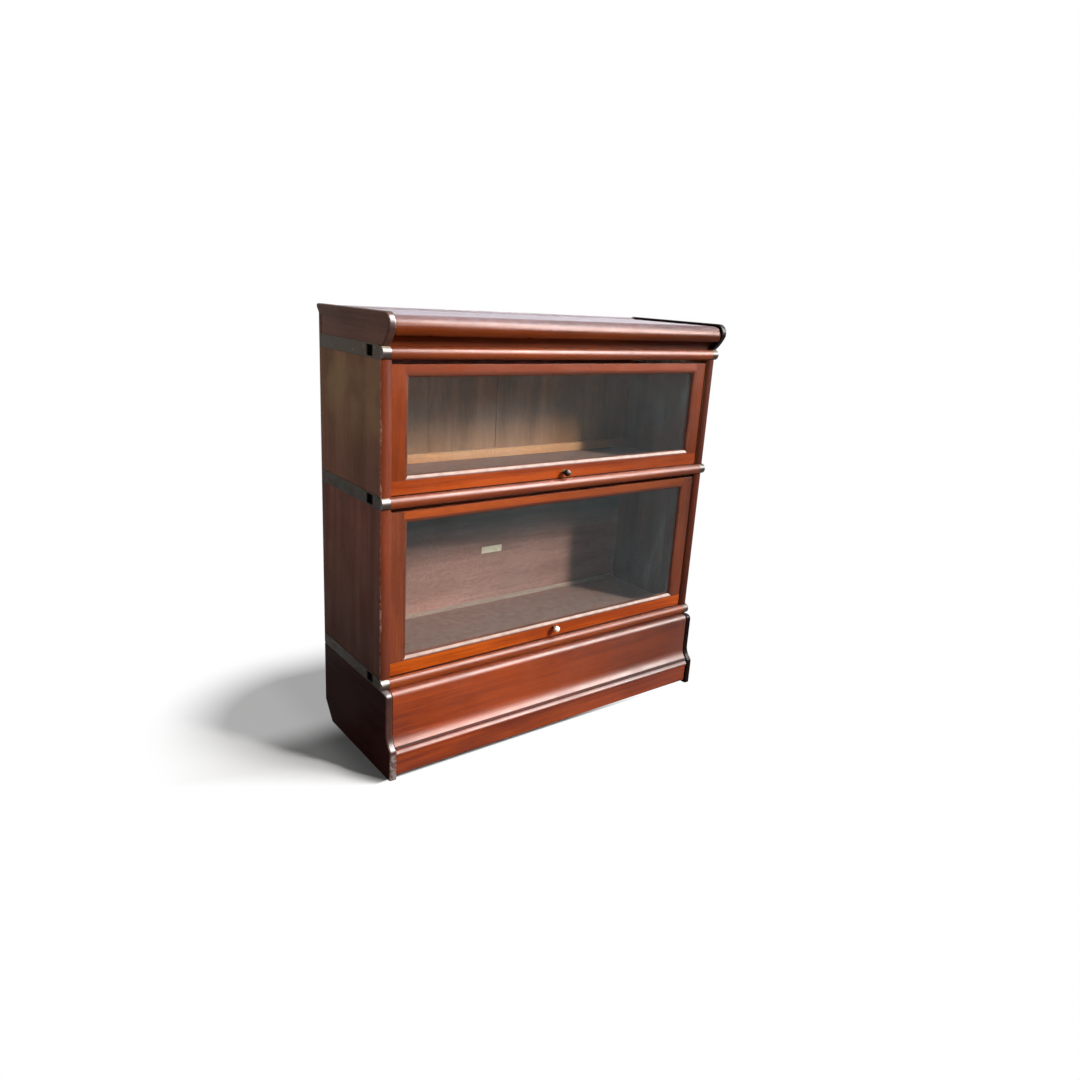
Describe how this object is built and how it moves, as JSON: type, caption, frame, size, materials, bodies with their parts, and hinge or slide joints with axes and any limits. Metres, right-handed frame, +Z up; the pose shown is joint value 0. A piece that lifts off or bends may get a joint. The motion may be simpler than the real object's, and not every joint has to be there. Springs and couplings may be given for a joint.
{
  "type": "sectional bookcase",
  "caption": "low stacking bookcase of dark wood: moulded base, book sections with glazed doors that lift and slide back, iron corner bands, moulded cornice",
  "frame": {"origin": "on the floor, in the middle of the whole footprint in width and in depth", "axes": "+Z up, +X towards the right-hand side as seen by someone facing the doors, -Y out of the doors towards that person"},
  "size_m": [0.864, 0.322, 0.901],
  "materials": {
    "case_wood": "varnished reddish-brown hardwood, semi-gloss, worn on the arrises",
    "interior_wood": "thin dull varnish, dusty",
    "carcase_wood": "bare sawn softwood",
    "door_glass": "old flat window glass",
    "band_iron": "dark enamelled iron, nose caps worn pale",
    "screw_steel": "dull steel",
    "track_steel": "bright drawn steel",
    "shoe_brass": "rubbed cast brass",
    "knob_brass": "turned brass, tarnished",
    "label_plate": "cream, bare, aged",
    "pin_brass": "dull brass"
  },
  "bodies": {
    "case": {"band_screws": "screw_steel", "base_back_rail": "carcase_wood", "base_cheek_left": "case_wood", "base_cheek_right": "case_wood", "base_front_moulding": "case_wood", "cornice_back_lip": "case_wood", "cornice_back_rail": "carcase_wood", "cornice_band_left": "band_iron", "cornice_band_right": "band_iron", "cornice_bottom_board": "case_wood", "cornice_cheek_left": "case_wood", "cornice_cheek_right": "case_wood", "cornice_front_moulding": "case_wood", "cornice_top_board": "case_wood", "glue_blocks": "carcase_wood", "label_pins": "pin_brass", "label_plate": "label_plate", "lower_back_panel": "interior_wood", "lower_back_stretcher": "interior_wood", "lower_band_left": "band_iron", "lower_band_right": "band_iron", "lower_bottom_board": "case_wood", "lower_side_left": "case_wood", "lower_side_right": "case_wood", "lower_stop_strip": "interior_wood", "lower_track_left": "track_steel", "lower_track_right": "track_steel", "upper_back_board_left": "interior_wood", "upper_back_board_right": "interior_wood", "upper_back_stretcher": "interior_wood", "upper_band_left": "band_iron", "upper_band_right": "band_iron", "upper_bottom_board": "case_wood", "upper_side_left": "case_wood", "upper_side_right": "case_wood", "upper_stop_strip": "interior_wood", "upper_track_left": "track_steel", "upper_track_right": "track_steel"},
    "lower_carriage": {"lower_door_hanging_rod": "track_steel", "lower_door_shoe_left": "shoe_brass", "lower_door_shoe_right": "shoe_brass"},
    "lower_door": {"lower_door_back_beads": "case_wood", "lower_door_bottom_rail": "case_wood", "lower_door_front_beads": "case_wood", "lower_door_glass": "door_glass", "lower_door_knob": "knob_brass", "lower_door_stile_left": "case_wood", "lower_door_stile_right": "case_wood", "lower_door_top_rail": "case_wood"},
    "upper_carriage": {"upper_door_hanging_rod": "track_steel", "upper_door_shoe_left": "shoe_brass", "upper_door_shoe_right": "shoe_brass"},
    "upper_door": {"upper_door_back_beads": "case_wood", "upper_door_bottom_rail": "case_wood", "upper_door_front_beads": "case_wood", "upper_door_glass": "door_glass", "upper_door_knob": "knob_brass", "upper_door_stile_left": "case_wood", "upper_door_stile_right": "case_wood", "upper_door_top_rail": "case_wood"}
  },
  "joints": [
    {"name": "lower_door_slide", "type": "slide", "parent": "case", "child": "lower_carriage", "axis": [0, 1, 0], "range_m": [0, 0.215]},
    {"name": "lower_door_swing", "type": "hinge", "parent": "lower_carriage", "child": "lower_door", "pos_m": [0, -0.104, 0.53], "axis": [-1, 0, 0], "range_deg": [0, 90]},
    {"name": "upper_door_slide", "type": "slide", "parent": "case", "child": "upper_carriage", "axis": [0, 1, 0], "range_m": [0, 0.178]},
    {"name": "upper_door_swing", "type": "hinge", "parent": "upper_carriage", "child": "upper_door", "pos_m": [0, -0.104, 0.802], "axis": [-1, 0, 0], "range_deg": [0, 90]}
  ]
}
